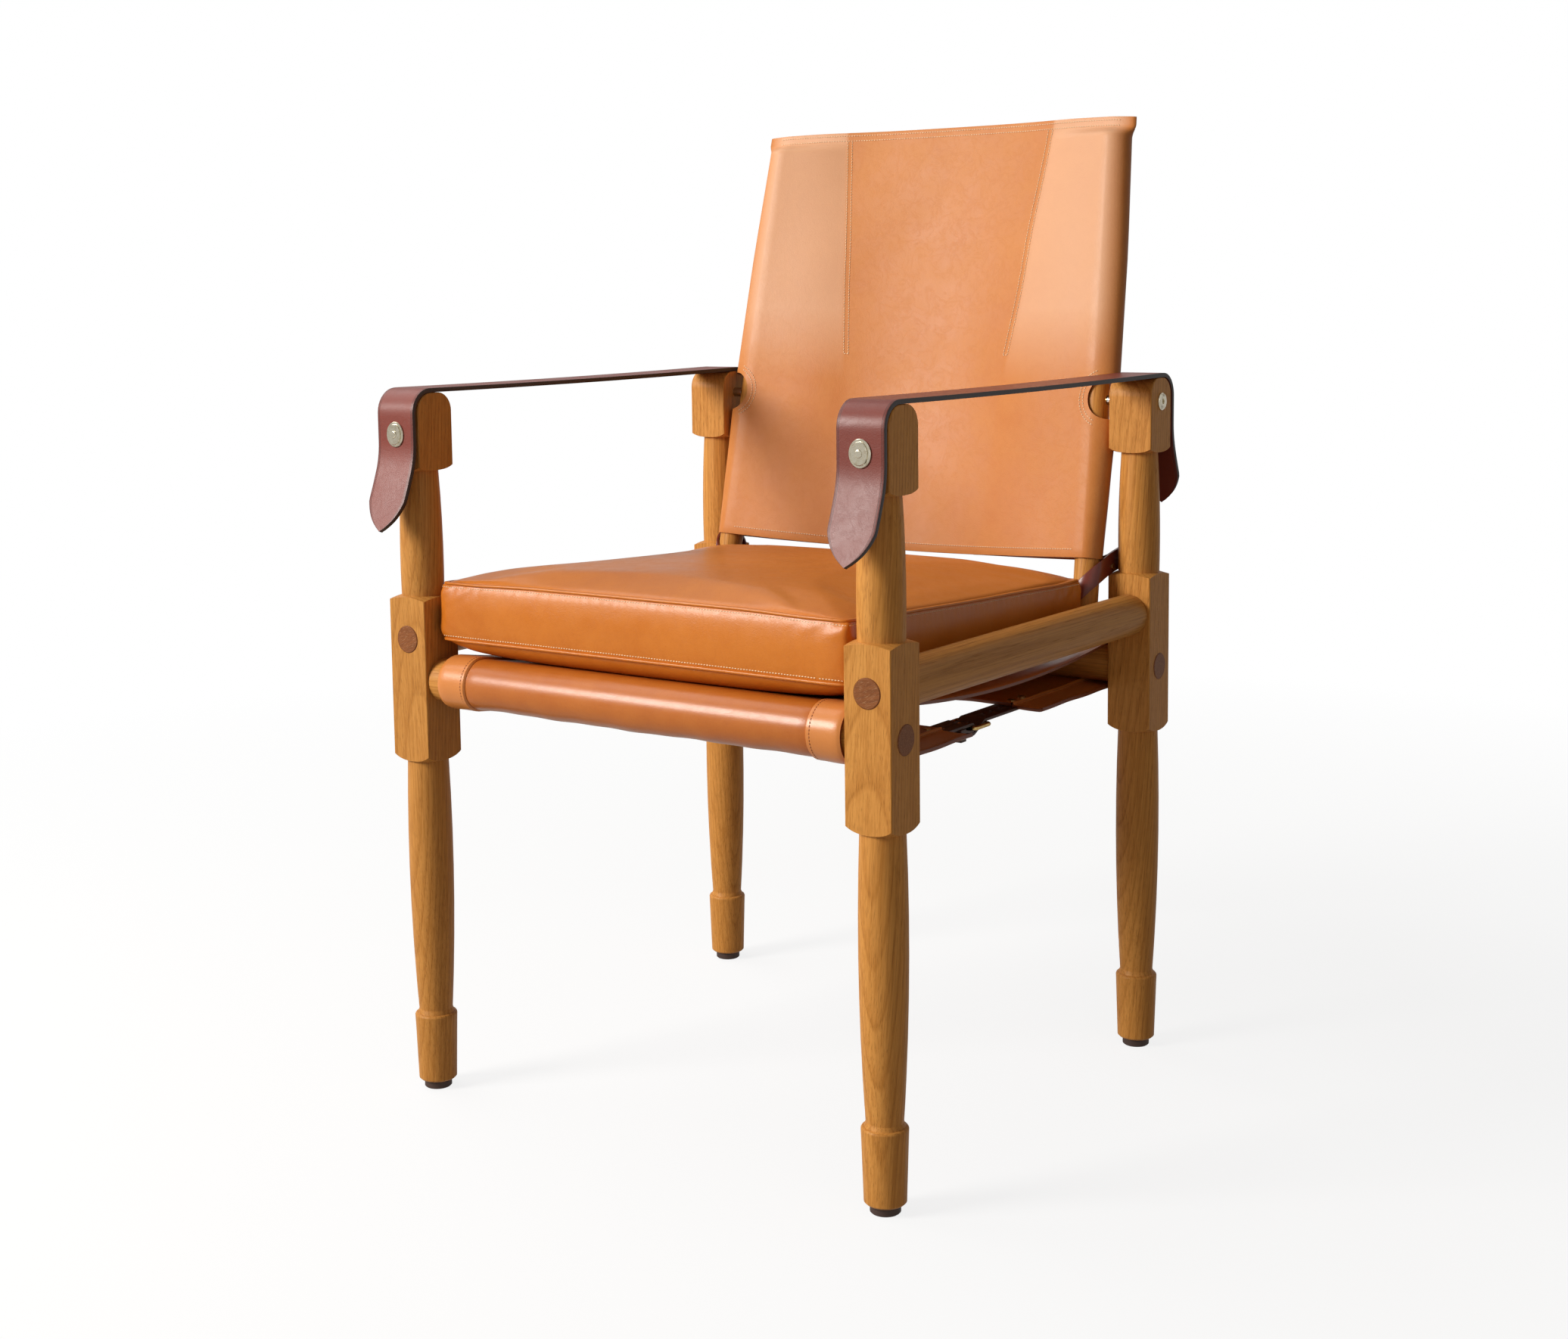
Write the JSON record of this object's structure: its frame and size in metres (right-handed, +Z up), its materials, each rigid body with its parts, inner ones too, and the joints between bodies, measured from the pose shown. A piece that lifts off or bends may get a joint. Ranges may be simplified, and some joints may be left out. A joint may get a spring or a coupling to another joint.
{
  "type": "campaign chair",
  "caption": "Knock-down armchair with a turned wooden frame, slung leather seat, loose cushion, strap arms and a leather back that tilts on two bolts.",
  "frame": {"origin": "on the floor, under the middle of the whole chair", "axes": "+Z up, front of the chair towards -Y, its right-hand side in the picture's view towards +X"},
  "size_m": [0.5558, 0.6096, 0.9257],
  "materials": {
    "oak": "oiled, satin",
    "plug_wood": "oiled, satin",
    "glide": "matte",
    "tan_leather": "satin",
    "dark_leather": "satin, burnished",
    "nickel": "polished",
    "steel": "brushed",
    "brass": "polished"
  },
  "bodies": {
    "frame": {"arm_strap_left": "dark_leather", "arm_strap_right": "dark_leather", "bolt_plugs": "plug_wood", "buckle_frame_1": "brass", "buckle_frame_2": "brass", "buckle_frame_3": "brass", "cross_nuts": "steel", "glide_front_left": "glide", "glide_front_right": "glide", "glide_rear_left": "glide", "glide_rear_right": "glide", "leg_front_left": "oak", "leg_front_right": "oak", "leg_rear_left": "oak", "leg_rear_right": "oak", "loop_rivets": "brass", "loop_screws": "steel", "pivot_bolt_left": "nickel", "pivot_bolt_right": "nickel", "pivot_spacer_left": "steel", "pivot_spacer_right": "steel", "post_loop_left": "dark_leather", "post_loop_right": "dark_leather", "rail_bolts": "steel", "rail_front": "oak", "rail_left": "oak", "rail_rear": "oak", "rail_right": "oak", "seat_sling": "tan_leather", "sling_billet_1": "dark_leather", "sling_billet_2": "dark_leather", "sling_billet_3": "dark_leather", "sling_chape_1": "dark_leather", "sling_chape_2": "dark_leather", "sling_chape_3": "dark_leather", "sling_rivets": "brass", "snap_plate_front_left": "nickel", "snap_plate_front_right": "nickel", "snap_plate_rear_left": "nickel", "snap_plate_rear_right": "nickel", "snap_stud_front_left": "nickel", "snap_stud_front_right": "nickel", "snap_stud_rear_left": "nickel", "snap_stud_rear_right": "nickel", "strap_keeper_1": "dark_leather", "strap_keeper_2": "dark_leather", "strap_keeper_3": "dark_leather"},
    "back": {"back_post_left": "oak", "back_post_right": "oak", "pivot_insert_left": "brass", "pivot_insert_right": "brass", "back_leather": "tan_leather"},
    "cushion": {"seat_cushion": "tan_leather"},
    "tongue_1": {"buckle_tongue_1": "brass"},
    "tongue_2": {"buckle_tongue_2": "brass"},
    "tongue_3": {"buckle_tongue_3": "brass"}
  },
  "joints": [
    {"name": "back_tilt", "type": "hinge", "parent": "frame", "child": "back", "pos_m": [0, 0.2237, 0.6446], "axis": [1, 0, 0], "range_deg": [0, 12], "deforming": ["post_loop_left", "post_loop_right", "loop_rivets"]},
    {"name": "cushion_lift", "type": "slide", "parent": "frame", "child": "cushion", "axis": [0, 0, 1], "range_m": [0, 0.12]},
    {"name": "buckle_1_swing", "type": "hinge", "parent": "frame", "child": "tongue_1", "pos_m": [-0.188, -0.0113, 0.3579], "axis": [-1, 0, 0], "range_deg": [0, 90], "deforming": ["sling_billet_1"]},
    {"name": "buckle_2_swing", "type": "hinge", "parent": "frame", "child": "tongue_2", "pos_m": [0, -0.0113, 0.3579], "axis": [-1, 0, 0], "range_deg": [0, 90], "deforming": ["sling_billet_2"]},
    {"name": "buckle_3_swing", "type": "hinge", "parent": "frame", "child": "tongue_3", "pos_m": [0.188, -0.0113, 0.3579], "axis": [-1, 0, 0], "range_deg": [0, 90], "deforming": ["sling_billet_3"]}
  ]
}
